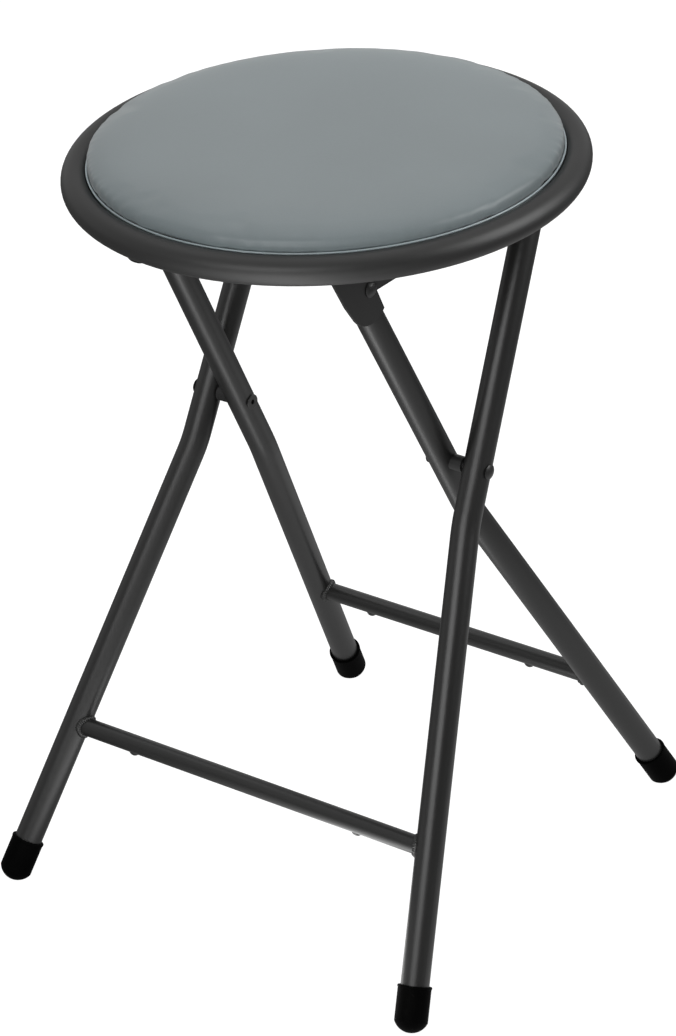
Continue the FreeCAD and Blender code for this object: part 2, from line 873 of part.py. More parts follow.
def seat_board():
    """The round board, with a pilot hole for each screw."""
    blank = cylinder("board_blank", board_radius, S["board_thickness"])
    centre_on_seat(blank, board_z)
    holes = []
    for number, y in enumerate(screw_rows()):
        hole = screw_hole(f"board_hole_{number}", y)
        holes += [hole, mirrored(f"board_hole_{number}_left", hole)]
    return cut("seat_board", blank, holes)


def build_frames():
    half_rivet = S["rivet_diameter"] / 2
    running = half_rivet + S["running_gap"]
    fixed = half_rivet + S["fit_gap"]
    rod_fit = S["rod_diameter"] / 2 + S["fit_gap"]
    keep_pair("outer_leg", leg_tube(outer_leg_axis, outer_pivot_x, running, rod_fit))
    keep_pair("inner_leg", leg_tube(inner_leg_axis, inner_pivot_x, fixed, running))
    heights = (S["outer_stretcher_z"], S["inner_stretcher_z"])
    for leg, height in zip((outer_leg_axis, inner_leg_axis), heights):
        keep_pair(f"{leg.name}_foot_cap", foot_cap(leg))
        keep_pair(f"{leg.name}_leg_plug", end_plug(leg))
        keep(stretcher(leg, height))
        keep(stretcher_studs(leg, height))
    keep_pair("pivot_rivet", pivot_rivet())
    keep_pair("pivot_spacer", pivot_spacer())
    keep_pair("hinge_rivet", hinge_rivet())
    keep_pair("hinge_washer", hinge_washer())
    keep(cross_rod())
    keep_pair("rod_washer", rod_washer())


def build_seat():
    keep(seat_rim())
    keep(seat_board())
    keep(seat_cushion())
    keep_pair("seat_rail", seat_rail())
    keep(board_screws())


def check_document():
    """Stop if anything failed to build."""
    for item in doc.Objects:
        bad = [state for state in item.State if state in ("Invalid", "Error")]
        if bad:
            raise RuntimeError(f"{item.Name} is {bad}")
    for name, item in nodes.items():
        if item.Shape.isNull() or not item.Shape.isValid():
            raise RuntimeError(f"{name} has no valid shape")
        if not item.Shape.Solids:
            raise RuntimeError(f"{name} holds no solid")


def write_parts():
    os.makedirs("parts", exist_ok=True)
    for name, item in nodes.items():
        item.Shape.exportStep(os.path.join("parts", f"{name}.step"))


build_frames()
build_seat()
doc.recompute()
check_document()
write_parts()
print("nodes", len(nodes))
print("pivot y z", round(pivot_y.value, 4), round(pivot_z.value, 4))
print("hinge y z", S["hinge_y"].value, hinge_z.value)
print("rod x y z", rod_x.value, S["rod_y"].value, rod_z.value)
print("leg x at pivot, outer and inner", round(outer_pivot_x.value, 3), round(inner_pivot_x.value, 3))
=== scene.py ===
import math

import bmesh
import bpy
from bpy.props import FloatProperty, FloatVectorProperty, IntProperty, PointerProperty
from mathutils import Matrix, Vector, noise


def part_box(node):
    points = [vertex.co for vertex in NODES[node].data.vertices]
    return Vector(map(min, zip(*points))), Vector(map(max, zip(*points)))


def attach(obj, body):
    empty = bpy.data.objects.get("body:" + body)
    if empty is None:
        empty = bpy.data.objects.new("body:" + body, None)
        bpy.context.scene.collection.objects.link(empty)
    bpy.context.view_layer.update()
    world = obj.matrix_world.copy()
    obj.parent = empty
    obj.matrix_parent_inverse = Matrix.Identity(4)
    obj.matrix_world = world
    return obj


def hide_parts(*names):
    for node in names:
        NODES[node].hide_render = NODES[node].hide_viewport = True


# The looks of a folding stool: two crossed frames of satin graphite tube under a round seat
# with a smooth grey cover. Lengths are in metres. X runs along the pivots, the outer frame's
# feet stand in front, towards -Y, and the seat's hinge is over them.

bl_info = {
    "name": "Folding stool",
    "version": (1, 0, 0),
    "blender": (4, 5, 0),
    "location": "View3D > Sidebar > Stool",
    "description": "Builds the cushion, hem, welds and finishes of a folding stool",
    "category": "Add Mesh",
}

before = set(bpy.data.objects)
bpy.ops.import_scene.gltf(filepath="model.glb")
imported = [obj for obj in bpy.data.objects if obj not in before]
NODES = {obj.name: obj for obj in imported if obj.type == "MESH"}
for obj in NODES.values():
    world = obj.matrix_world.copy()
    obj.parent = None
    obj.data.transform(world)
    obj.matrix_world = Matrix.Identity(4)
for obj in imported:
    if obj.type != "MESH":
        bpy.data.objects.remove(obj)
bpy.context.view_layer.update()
MM = 0.001

# places taken from the frame
RIM_LOW, RIM_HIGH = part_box("seat_rim")
RIM_TUBE = (RIM_HIGH.z - RIM_LOW.z) / 2
RIM_RADIUS = (RIM_HIGH.x - RIM_LOW.x) / 2
RIM_RING = RIM_RADIUS - RIM_TUBE
SEAT = (RIM_LOW + RIM_HIGH) / 2
BOARD_LOW, BOARD_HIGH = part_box("seat_board")
BOARD_RADIUS = (BOARD_HIGH.x - BOARD_LOW.x) / 2
PAD_LOW, PAD_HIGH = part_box("seat_cushion")
PAD_RADIUS = (PAD_HIGH.x - PAD_LOW.x) / 2
RAIL_LOW, RAIL_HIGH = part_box("seat_rail_right")

# bodies of the frame
INNER = "inner_frame"
OUTER = "outer_frame"
SEAT_BODY = "seat"

# the photograph's camera: where it stands, how it is turned, and its lens
CAMERA_PLACE = Vector((1.41584, -1.75838, 1.43775))
CAMERA_YAW = -38.89
CAMERA_PITCH = -28.38
CAMERA_ROLL = -3.67
CAMERA_SENSOR = 36.0
CAMERA_LENS = 152.08
CAMERA_FAR = 50.0


def length_property(name, words, value):
    return FloatProperty(name=name, description=words, default=value, unit="LENGTH")


class StoolSizes(bpy.types.PropertyGroup):
    """Sizes of what is dressed over the frame."""

    pad_swell: length_property("Pad swell", "How far the foam may swell in its simulation", 0.8 * MM)
    pad_voxel: length_property("Pad grain", "Size of the cells the pad is remeshed with", 4.0 * MM)
    pad_ripple: length_property("Pad unevenness", "Height of the top's soft unevenness", 0.35 * MM)
    welt_radius: length_property("Welt", "Radius of the rolled edge of the cover", 0.6 * MM)
    hem_width: length_property("Hem", "Width of the cover's hem under the board", 14.0 * MM)
    hem_pleats: IntProperty(name="Pleats", description="Number of gathers in the hem", default=72)
    staple_count: IntProperty(name="Staples", description="Number of staples in the hem", default=40)
    weld_radius: length_property("Weld", "Radius of a weld bead", 1.7 * MM)
    weld_step: length_property("Weld ripple", "Distance between two ripples of a bead", 1.3 * MM)
    floor_size: length_property("Floor", "Side of the studio floor", 14.0)


def colour_property(name, words, value):
    return FloatVectorProperty(
        name=name, description=words, default=value, subtype="COLOR", size=3, min=0.0, max=1.0,
    )


class StoolColours(bpy.types.PropertyGroup):
    """Colours of the stool's finishes and of the studio."""

    coat: colour_property("Coat", "Graphite powder coat of the tubes", (0.01, 0.01, 0.0098))
    cover: colour_property("Cover", "Smooth grey cover of the seat", (0.188, 0.221, 0.23))
    rubber: colour_property("Rubber", "Black rubber of the foot caps", (0.001, 0.001, 0.001))
    plastic: colour_property("Plastic", "Black plastic of plugs and bushes", (0.014, 0.014, 0.014))
    # the board's colour is very dark, far darker than bare plywood
    board: colour_property("Board", "Dark-stained plywood under the seat", (0.06, 0.045, 0.033))
    steel: colour_property("Steel", "Zinc-plated steel of rod and screws", (0.55, 0.56, 0.58))
    dust: colour_property("Dust", "Pale dust on the soles", (0.05, 0.048, 0.044))
    floor: colour_property("Floor", "Studio floor under the white light", (0.22, 0.22, 0.22))


def sizes():
    return bpy.context.scene.stool_sizes


def colours():
    return bpy.context.scene.stool_colours


# shader helpers

def colour4(colour, factor=1.0):
    return tuple(min(1.0, channel * factor) for channel in colour[:3]) + (1.0,)


def node_group(name, inputs, outputs):
    """A new shader group with named sockets, and its first and last nodes."""
    group = bpy.data.node_groups.new(name, "ShaderNodeTree")
    for label, kind, value in inputs:
        socket = group.interface.new_socket(label, in_out="INPUT", socket_type=f"NodeSocket{kind}")
        if value is not None:
            socket.default_value = value
    for label, kind in outputs:
        group.interface.new_socket(label, in_out="OUTPUT", socket_type=f"NodeSocket{kind}")
    first = group.nodes.new("NodeGroupInput")
    last = group.nodes.new("NodeGroupOutput")
    return group, first, last


def add(tree, kind, **values):
    """A node with its settings and the values of its inputs."""
    made = tree.nodes.new(kind)
    for key, value in values.items():
        if hasattr(made, key) and key not in made.inputs:
            setattr(made, key, value)
        else:
            made.inputs[key.replace("_", " ")].default_value = value
    return made


def mix_colours(tree, factor, first, second, blend="MIX"):
    made = tree.nodes.new("ShaderNodeMix")
    made.data_type = "RGBA"
    made.blend_type = blend
    sockets = {"Factor": made.inputs[0], "A": made.inputs[6], "B": made.inputs[7]}
    for label, value in (("Factor", factor), ("A", first), ("B", second)):
        if isinstance(value, bpy.types.NodeSocket):
            tree.links.new(value, sockets[label])
        else:
            sockets[label].default_value = value
    return made.outputs[2]


def arithmetic(tree, operation, first, second=0.0):
    made = tree.nodes.new("ShaderNodeMath")
    made.operation = operation
    for socket, value in zip(made.inputs, (first, second)):
        if isinstance(value, bpy.types.NodeSocket):
            tree.links.new(value, socket)
        else:
            socket.default_value = value
    return made.outputs[0]


def ramp(tree, value, stops):
    made = tree.nodes.new("ShaderNodeValToRGB")
    made.color_ramp.elements[0].position = stops[0][0]
    made.color_ramp.elements[0].color = (stops[0][1],) * 3 + (1.0,)
    made.color_ramp.elements[1].position = stops[-1][0]
    made.color_ramp.elements[1].color = (stops[-1][1],) * 3 + (1.0,)
    for position, level in stops[1:-1]:
        element = made.color_ramp.elements.new(position)
        element.color = (level,) * 3 + (1.0,)
    tree.links.new(value, made.inputs[0])
    return made.outputs[0]


def textured(tree, kind, vector, **values):
    """A texture or mapping node that reads a vector."""
    made = add(tree, kind, **values)
    tree.links.new(vector, made.inputs["Vector"])
    return made


def mottle_group():
    """Slow drift and fine speckle of a colour, and of a roughness."""
    group, first, last = node_group(
        "stool_mottle",
        [
            ("Vector", "Vector", None),
            ("Color", "Color", None),
            ("Second Color", "Color", None),
            ("Patch Scale", "Float", 14.0),
            ("Speckle Scale", "Float", 700.0),
            ("Speckle", "Float", 0.15),
            ("Roughness", "Float", 0.4),
            ("Roughness Drift", "Float", 0.08),
        ],
        [("Color", "Color"), ("Roughness", "Float")],
    )
    links = group.links
    patches = textured(group, "ShaderNodeTexNoise", first.outputs["Vector"], Detail=4.0)
    links.new(first.outputs["Patch Scale"], patches.inputs["Scale"])
    speckle = textured(group, "ShaderNodeTexNoise", first.outputs["Vector"], Detail=1.0)
    links.new(first.outputs["Speckle Scale"], speckle.inputs["Scale"])
    spread = ramp(group, patches.outputs[0], [(0.35, 0.0), (0.65, 1.0)])
    drift = mix_colours(group, spread, first.outputs["Color"], first.outputs["Second Color"])
    level = arithmetic(group, "SUBTRACT", speckle.outputs[0], 0.5)
    level = arithmetic(group, "MULTIPLY", level, first.outputs["Speckle"])
    level = arithmetic(group, "ADD", level, 1.0)
    grey = group.nodes.new("ShaderNodeCombineColor")
    for socket in grey.inputs:
        links.new(level, socket)
    links.new(mix_colours(group, 1.0, drift, grey.outputs[0], "MULTIPLY"), last.inputs["Color"])
    offset = arithmetic(group, "SUBTRACT", patches.outputs[0], 0.5)
    offset = arithmetic(group, "MULTIPLY", offset, first.outputs["Roughness Drift"])
    rough = arithmetic(group, "ADD", offset, first.outputs["Roughness"])
    links.new(rough, last.inputs["Roughness"])
    return group


def skin_group():
    """Height of a surface skin: fine pebbles over long soft waves."""
    group, first, last = node_group(
        "stool_skin",
        [
            ("Vector", "Vector", None),
            ("Pebble Scale", "Float", 900.0),
            ("Pebble Height", "Float", 0.5),
            ("Wave Scale", "Float", 60.0),
            ("Wave Height", "Float", 0.5),
        ],
        [("Height", "Float")],
    )
    links = group.links
    pebbles = textured(
        group, "ShaderNodeTexVoronoi", first.outputs["Vector"], feature="SMOOTH_F1"
    )
    links.new(first.outputs["Pebble Scale"], pebbles.inputs["Scale"])
    waves = textured(group, "ShaderNodeTexNoise", first.outputs["Vector"], Detail=3.0)
    links.new(first.outputs["Wave Scale"], waves.inputs["Scale"])
    fine = arithmetic(group, "MULTIPLY", pebbles.outputs["Distance"], first.outputs["Pebble Height"])
    slow = arithmetic(group, "MULTIPLY", waves.outputs[0], first.outputs["Wave Height"])
    links.new(arithmetic(group, "ADD", fine, slow), last.inputs["Height"])
    return group


def scuff_group():
    """A mask of short fine scratches that fades with height over the floor."""
    group, first, last = node_group(
        "stool_scuffs",
        [
            ("Vector", "Vector", None),
            ("Scale", "Float", 60.0),
            ("Top", "Float", 0.2),
            ("Amount", "Float", 0.5),
        ],
        [("Mask", "Float")],
    )
    links = group.links
    warp = textured(group, "ShaderNodeTexNoise", first.outputs["Vector"], Scale=9.0, Detail=2.0)
    turned = textured(
        group, "ShaderNodeMapping", first.outputs["Vector"], Rotation=(0.5, 0.3, 0.9), Scale=(1.0, 7.0, 1.0)
    )
    lines = textured(group, "ShaderNodeTexNoise", turned.outputs[0], Detail=6.0)
    links.new(first.outputs["Scale"], lines.inputs["Scale"])
    sharp = ramp(group, lines.outputs[0], [(0.64, 0.0), (0.7, 1.0)])
    where = ramp(group, warp.outputs[0], [(0.5, 0.0), (0.62, 1.0)])
    parts = group.nodes.new("ShaderNodeSeparateXYZ")
    links.new(first.outputs["Vector"], parts.inputs[0])
    height = arithmetic(group, "DIVIDE", parts.outputs["Z"], first.outputs["Top"])
    low = ramp(group, height, [(0.0, 1.0), (1.0, 0.12)])
    mask = arithmetic(group, "MULTIPLY", sharp, where)
    mask = arithmetic(group, "MULTIPLY", mask, low)
    mask = arithmetic(group, "MULTIPLY", mask, first.outputs["Amount"])
    links.new(mask, last.inputs["Mask"])
    return group


def shared(maker):
    """The shader group that a maker builds, built once."""
    if maker.__name__ not in shared.made:
        shared.made[maker.__name__] = maker()
    return shared.made[maker.__name__]


shared.made = {}


def place_group(tree, maker, vector, **values):
    made = tree.nodes.new("ShaderNodeGroup")
    made.node_tree = shared(maker)
    tree.links.new(vector, made.inputs["Vector"])
    for key, value in values.items():
        made.inputs[key.replace("_", " ")].default_value = value
    return made


def new_material(name, **values):
    """A material with its Principled shader, and the object's own coordinates."""
    material = bpy.data.materials.new(name)
    material.use_nodes = True
    tree = material.node_tree
    shader = tree.nodes["Principled BSDF"]
    for key, value in values.items():
        shader.inputs[key.replace("_", " ")].default_value = value
    place = tree.nodes.new("ShaderNodeTexCoord")
    return material, tree, shader, place.outputs["Object"]


def bump(tree, height, shader, strength, distance):
    made = add(tree, "ShaderNodeBump", Strength=strength, Distance=distance)
    tree.links.new(height, made.inputs["Height"])
    tree.links.new(made.outputs[0], shader.inputs["Normal"])


def mottled(tree, place, shader, first, second, **values):
    """Give a shader drifting colour and roughness."""
    made = place_group(tree, mottle_group, place, Color=first, Second_Color=second, **values)
    tree.links.new(made.outputs["Color"], shader.inputs["Base Color"])
    tree.links.new(made.outputs["Roughness"], shader.inputs["Roughness"])
    return made


def skinned(tree, place, shader, strength, depth, **values):
    """Give a shader the fine relief of its surface skin."""
    skin = place_group(tree, skin_group, place, **values)
    bump(tree, skin.outputs["Height"], shader, strength, depth)


# finishes

def coat_material(name="graphite_coat", roughness=0.36):
    """Satin graphite powder coat: fine orange peel, and a few pale scuffs low down."""
    material, tree, shader, place = new_material(name, Specular_IOR_Level=1.0)
    base = colours().coat
    drift = mottled(
        tree, place, shader, colour4(base), colour4(base, 1.1),
        Patch_Scale=9.0, Speckle_Scale=1500.0, Speckle=0.16, Roughness=roughness, Roughness_Drift=0.1,
    )
    scuffs = place_group(tree, scuff_group, place, Scale=70.0, Top=0.24, Amount=0.3)
    worn = mix_colours(tree, scuffs.outputs["Mask"], drift.outputs["Color"], colour4(base, 2.2))
    tree.links.new(worn, shader.inputs["Base Color"])
    skinned(
        tree, place, shader, 0.18, 0.1 * MM,
        Pebble_Scale=1400.0, Pebble_Height=0.5, Wave_Scale=240.0, Wave_Height=0.9,
    )
    return material


def rim_material():
    """The rim's coat, rubbed by use and so a little duller than the legs'."""
    return coat_material("rim_coat", 0.47)


def weld_material():
    """The same coat over a weld, a little thinner on the ripples."""
    material, tree, shader, place = new_material("coated_weld", Specular_IOR_Level=1.0)
    base = colours().coat
    mottled(
        tree, place, shader, colour4(base, 0.9), colour4(base, 1.3),
        Patch_Scale=220.0, Speckle_Scale=1500.0, Speckle=0.2, Roughness=0.34, Roughness_Drift=0.12,
    )
    skinned(
        tree, place, shader, 0.3, 0.12 * MM,
        Pebble_Scale=900.0, Pebble_Height=0.7, Wave_Scale=500.0, Wave_Height=0.8,
    )
    return material


def cover_material():
    """Smooth grey synthetic leather with a very fine grain and a soft sheen."""
    material, tree, shader, place = new_material(
        "smooth_cover", Specular_IOR_Level=0.5, Coat_Weight=0.25, Coat_Roughness=0.25,
        Sheen_Weight=0.3, Sheen_Roughness=0.35
    )
    base = colours().cover
    mottled(
        tree, place, shader, colour4(base, 0.97), colour4(base, 1.03),
        Patch_Scale=11.0, Speckle_Scale=900.0, Speckle=0.05, Roughness=0.44, Roughness_Drift=0.1,
    )
    skinned(
        tree, place, shader, 0.16, 0.25 * MM,
        Pebble_Scale=1100.0, Pebble_Height=0.55, Wave_Scale=26.0, Wave_Height=1.2,
    )
    return material


def welt_material():
    """The cover where it is pressed into its rolled edge: shinier, and painted far paler than the cover as
    a painted highlight along the edge.
    """
    material, tree, shader, place = new_material(
        "pressed_edge", Specular_IOR_Level=0.6, Coat_Weight=0.35, Coat_Roughness=0.18
    )
    base = colours().cover
    # painted highlight: the cover's colour raised 2.3 to 2.6 times, so that the edge reads as a bright line
    mottled(
        tree, place, shader, colour4(base, 2.3), colour4(base, 2.6),
        Patch_Scale=30.0, Speckle_Scale=900.0, Speckle=0.08, Roughness=0.3, Roughness_Drift=0.1,
    )
    skinned(tree, place, shader, 0.15, 0.1 * MM, Pebble_Scale=1300.0, Pebble_Height=0.4)
    return material


def rubber_material():
    """Black moulded rubber with a matt skin and a little dust at the sole."""
    material, tree, shader, place = new_material("foot_rubber", Specular_IOR_Level=0.03)
    base = colours().rubber
    drift = mottled(
        tree, place, shader, colour4(base), colour4(base, 1.8),
        Patch_Scale=60.0, Speckle_Scale=1800.0, Speckle=0.3, Roughness=0.55, Roughness_Drift=0.15,
    )
    scuffs = place_group(tree, scuff_group, place, Scale=150.0, Top=0.012, Amount=0.5)
    dusty = mix_colours(tree, scuffs.outputs["Mask"], drift.outputs["Color"], colour4(colours().dust))
    tree.links.new(dusty, shader.inputs["Base Color"])
    skinned(
        tree, place, shader, 0.3, 0.12 * MM,
        Pebble_Scale=1600.0, Pebble_Height=0.8, Wave_Scale=300.0, Wave_Height=0.5,
    )
    return material


def plastic_material():
    """Black moulded plastic of the plugs, bushes and washers."""
    material, tree, shader, place = new_material("moulded_plastic", Specular_IOR_Level=0.7)
    base = colours().plastic
    mottled(
        tree, place, shader, colour4(base), colour4(base, 1.4),
        Patch_Scale=80.0, Speckle_Scale=2200.0, Speckle=0.2, Roughness=0.42, Roughness_Drift=0.1,
    )
    skinned(
        tree, place, shader, 0.2, 0.08 * MM,
        Pebble_Scale=2400.0, Pebble_Height=0.6, Wave_Scale=400.0, Wave_Height=0.4,
    )
    return material


def board_material():
    """Plywood seen from below, coloured very dark: long grain with faint rings, a dry surface."""
    material, tree, shader, place = new_material("plywood", Specular_IOR_Level=0.3)
    base = colours().board
    along = textured(tree, "ShaderNodeMapping", place, Scale=(1.0, 0.09, 1.0))
    rings = textured(
        tree, "ShaderNodeTexWave", along.outputs[0], wave_type="RINGS", Scale=24.0,
        Distortion=7.0, Detail=3.0, Detail_Scale=1.6,
    )
    fibres = textured(tree, "ShaderNodeTexNoise", along.outputs[0], Scale=520.0, Detail=5.0)
    dark = colour4(base, 0.62)
    grain = mix_colours(tree, ramp(tree, rings.outputs[0], [(0.2, 0.0), (0.85, 1.0)]), dark, colour4(base))
    streaks = ramp(tree, fibres.outputs[0], [(0.38, 0.72), (0.62, 1.0)])
    tree.links.new(mix_colours(tree, 1.0, grain, streaks, "MULTIPLY"), shader.inputs["Base Color"])
    shader.inputs["Roughness"].default_value = 0.7
    bump(tree, fibres.outputs[0], shader, 0.35, 0.2 * MM)
    return material


def steel_material(name, brushed_along):
    """Zinc-plated steel with fine turned or drawn lines."""
    material, tree, shader, place = new_material(name, Metallic=1.0)
    base = colours().steel
    stretched = textured(tree, "ShaderNodeMapping", place, Scale=brushed_along)
    lines = textured(tree, "ShaderNodeTexNoise", stretched.outputs[0], Scale=900.0, Detail=3.0)
    mottled(
        tree, place, shader, colour4(base), colour4(base, 0.8),
        Patch_Scale=120.0, Speckle_Scale=2600.0, Speckle=0.12, Roughness=0.34, Roughness_Drift=0.16,
    )
    bump(tree, lines.outputs[0], shader, 0.22, 0.06 * MM)
    return material


def floor_material():
    """A floor that shows as white to the camera, with its shadow, and glows in the gloss."""
    material = bpy.data.materials.new("studio_floor")
    material.use_nodes = True
    tree = material.node_tree
    tree.nodes.remove(tree.nodes["Principled BSDF"])
    output = tree.nodes["Material Output"]
    diffuse = tree.nodes.new("ShaderNodeBsdfDiffuse")
    glow = tree.nodes.new("ShaderNodeEmission")
    path = tree.nodes.new("ShaderNodeLightPath")
    seen = arithmetic(tree, "MAXIMUM", path.outputs["Is Camera Ray"], path.outputs["Is Transmission Ray"])
    lift = arithmetic(tree, "MULTIPLY", seen, FLOOR_LIFT)
    place = tree.nodes.new("ShaderNodeTexCoord")
    around = textured(tree, "ShaderNodeTexGradient", place.outputs["Object"], gradient_type="RADIAL")
    streak = ramp(tree, around.outputs[0], FLOOR_STREAK_STOPS)
    streak = arithmetic(tree, "MULTIPLY", streak, FLOOR_STREAK)
    moved = textured(
        tree, "ShaderNodeMapping", place.outputs["Object"], vector_type="TEXTURE",
        Location=FLOOR_GLOW_PLACE, Scale=(FLOOR_GLOW_REACH,) * 3,
    )
    ball = textured(tree, "ShaderNodeTexGradient", moved.outputs[0], gradient_type="SPHERICAL")
    near = ramp(tree, ball.outputs[0], FLOOR_GLOW_STOPS)
    lit = arithmetic(tree, "ADD", streak, near)
    gloss = arithmetic(tree, "MULTIPLY", path.outputs["Is Glossy Ray"], lit)
    tree.links.new(arithmetic(tree, "ADD", lift, gloss), glow.inputs["Strength"])
    matt = mix_colours(tree, path.outputs["Is Glossy Ray"], colour4(colours().floor), (0.0, 0.0, 0.0, 1.0))
    tree.links.new(matt, diffuse.inputs["Color"])
    both = tree.nodes.new("ShaderNodeAddShader")
    tree.links.new(diffuse.outputs[0], both.inputs[0])
    tree.links.new(glow.outputs[0], both.inputs[1])
    tree.links.new(both.outputs[0], output.inputs["Surface"])
    return material


def finish(name):
    """The material of a finish, made the first time that it is asked for."""
    makers = {
        "coat": coat_material,
        "rim": rim_material,
        "weld": weld_material,
        "cover": cover_material,
        "welt": welt_material,
        "rubber": rubber_material,
        "plastic": plastic_material,
        "board": board_material,
        "rod": lambda: steel_material("drawn_steel", (0.05, 1.0, 1.0)),
        "screw": lambda: steel_material("plated_steel", (1.0, 1.0, 0.4)),
        "floor": floor_material,
    }
    if name not in finish.made:
        finish.made[name] = makers[name]()
    return finish.made[name]


finish.made = {}


# mesh helpers

def object_from(name, bm, material, smooth=True):
    """A finished object from a bmesh, which it uses up."""
    bmesh.ops.remove_doubles(bm, verts=bm.verts, dist=1e-6)
    bmesh.ops.recalc_face_normals(bm, faces=bm.faces)
    mesh = bpy.data.meshes.new(name)
    bm.to_mesh(mesh)
    bm.free()
    return object_of(name, mesh, material, smooth)


def object_of(name, mesh, material, smooth=True):
    made = bpy.data.objects.new(name, mesh)
    bpy.context.scene.collection.objects.link(made)
    mesh.materials.clear()
    mesh.materials.append(material)
    for polygon in mesh.polygons:
        polygon.use_smooth = smooth
    return made


def ring_mesh(profile, steps, shift=None):
    """A closed ring turned about the seat's axis from a closed profile of (radius, height)."""
    bm = bmesh.new()
    rings = []
    for step in range(steps):
        angle = 2 * math.pi * step / steps
        points = []
        for radius, height in profile:
            if shift:
                radius, height = shift(angle, radius, height)
            points.append(bm.verts.new(seat_point(angle, radius, height)))
        rings.append(points)
    count = len(profile)
    for index, ring in enumerate(rings):
        following = rings[(index + 1) % steps]
        for side in range(count):
            after = (side + 1) % count
            bm.faces.new((ring[side], ring[after], following[after], following[side]))
    return bm


def seat_point(angle, radius, height):
    return Vector((SEAT.x + radius * math.cos(angle), SEAT.y + radius * math.sin(angle), height))


def circle_profile(radius, height, size, sides):
    """A small circle in the (radius, height) plane."""
    turns = [2 * math.pi * side / sides for side in range(sides)]
    return [(radius + size * math.cos(turn), height + size * math.sin(turn)) for turn in turns]


def convert(source, name):
    """A plain mesh from an object's evaluated modifiers, in the object's own coordinates."""
    bpy.context.view_layer.update()
    evaluated = source.evaluated_get(bpy.context.evaluated_depsgraph_get())
    mesh = bpy.data.meshes.new_from_object(evaluated)
    mesh.name = name
    return mesh


def settle(made):
    """Turn an object's modifiers into its plain mesh."""
    mesh = convert(made, made.name)
    made.modifiers.clear()
    made.data = mesh
    return mesh


def discard(made):
    bpy.data.objects.remove(made, do_unlink=True)


# repeats along a path, by geometry nodes

def repeat_tree():
    """Copies of an object set along a curve, each turned to follow it."""
    tree = bpy.data.node_groups.new("stool_repeat", "GeometryNodeTree")
    tree.interface.new_socket("Geometry", in_out="OUTPUT", socket_type="NodeSocketGeometry")
    tree.interface.new_socket("Geometry", in_out="INPUT", socket_type="NodeSocketGeometry")
    for label, kind in (
        ("Piece", "NodeSocketObject"), ("Count", "NodeSocketInt"), ("Size", "NodeSocketFloat"),
        ("Unevenness", "NodeSocketFloat"), ("Seed", "NodeSocketInt"), ("Finish", "NodeSocketMaterial"),
    ):
        tree.interface.new_socket(label, in_out="INPUT", socket_type=kind)
    first = tree.nodes.new("NodeGroupInput")
    last = tree.nodes.new("NodeGroupOutput")
    link = tree.links.new
    resample = tree.nodes.new("GeometryNodeResampleCurve")
    link(first.outputs["Geometry"], resample.inputs["Curve"])
    link(first.outputs["Count"], resample.inputs["Count"])
    points = tree.nodes.new("GeometryNodeCurveToPoints")
    points.mode = "EVALUATED"
    link(resample.outputs[0], points.inputs["Curve"])
    piece = tree.nodes.new("GeometryNodeObjectInfo")
    link(first.outputs["Piece"], piece.inputs["Object"])
    chance = tree.nodes.new("FunctionNodeRandomValue")
    chance.data_type = "FLOAT"
    link(first.outputs["Seed"], chance.inputs["Seed"])
    spread = tree.nodes.new("ShaderNodeMath")
    spread.operation = "MULTIPLY_ADD"
    link(chance.outputs[1], spread.inputs[0])
    link(first.outputs["Unevenness"], spread.inputs[1])
    link(first.outputs["Size"], spread.inputs[2])
    copies = tree.nodes.new("GeometryNodeInstanceOnPoints")
    link(points.outputs["Points"], copies.inputs["Points"])
    link(piece.outputs["Geometry"], copies.inputs["Instance"])
    link(points.outputs["Rotation"], copies.inputs["Rotation"])
    link(spread.outputs[0], copies.inputs["Scale"])
    real = tree.nodes.new("GeometryNodeRealizeInstances")
    link(copies.outputs[0], real.inputs[0])
    painted = tree.nodes.new("GeometryNodeSetMaterial")
    link(real.outputs[0], painted.inputs["Geometry"])
    link(first.outputs["Finish"], painted.inputs["Material"])
    link(painted.outputs[0], last.inputs["Geometry"])
    return tree


def path_curve(name, points, closed):
    curve = bpy.data.curves.new(name, "CURVE")
    curve.dimensions = "3D"
    curve.twist_mode = "Z_UP"
    spline = curve.splines.new("POLY")
    spline.points.add(len(points) - 1)
    for point, place in zip(spline.points, points):
        point.co = (*place, 1.0)
    spline.use_cyclic_u = closed
    made = bpy.data.objects.new(name, curve)
    bpy.context.scene.collection.objects.link(made)
    return made


def repeated(name, points, closed, piece, count, material, size=1.0, unevenness=0.0, seed=1):
    """Copies of a piece along a path, as one plain mesh."""
    path = path_curve(f"{name}_path", points, closed)
    modifier = path.modifiers.new("repeat", "NODES")
    if "repeat" not in repeated.trees:
        repeated.trees["repeat"] = repeat_tree()
    modifier.node_group = repeated.trees["repeat"]
    values = {
        "Piece": piece, "Count": count, "Size": size, "Unevenness": unevenness, "Seed": seed,
        "Finish": material,
    }
    for item in modifier.node_group.interface.items_tree:
        if item.in_out == "INPUT" and item.name in values:
            modifier[item.identifier] = values[item.name]
    mesh = convert(path, name)
    discard(path)
    return mesh


repeated.trees = {}


def path_length(points, closed):
    ends = points + points[:1] if closed else points
    return sum((after - before).length for before, after in zip(ends, ends[1:]))


def joined(name, meshes, material, smooth=True):
    """One object from several meshes."""
    bm = bmesh.new()
    for mesh in meshes:
        bm.from_mesh(mesh)
        bpy.data.meshes.remove(mesh)
    bmesh.ops.recalc_face_normals(bm, faces=bm.faces)
    mesh = bpy.data.meshes.new(name)
    bm.to_mesh(mesh)
    bm.free()
    return object_of(name, mesh, material, smooth)


# seat cushion

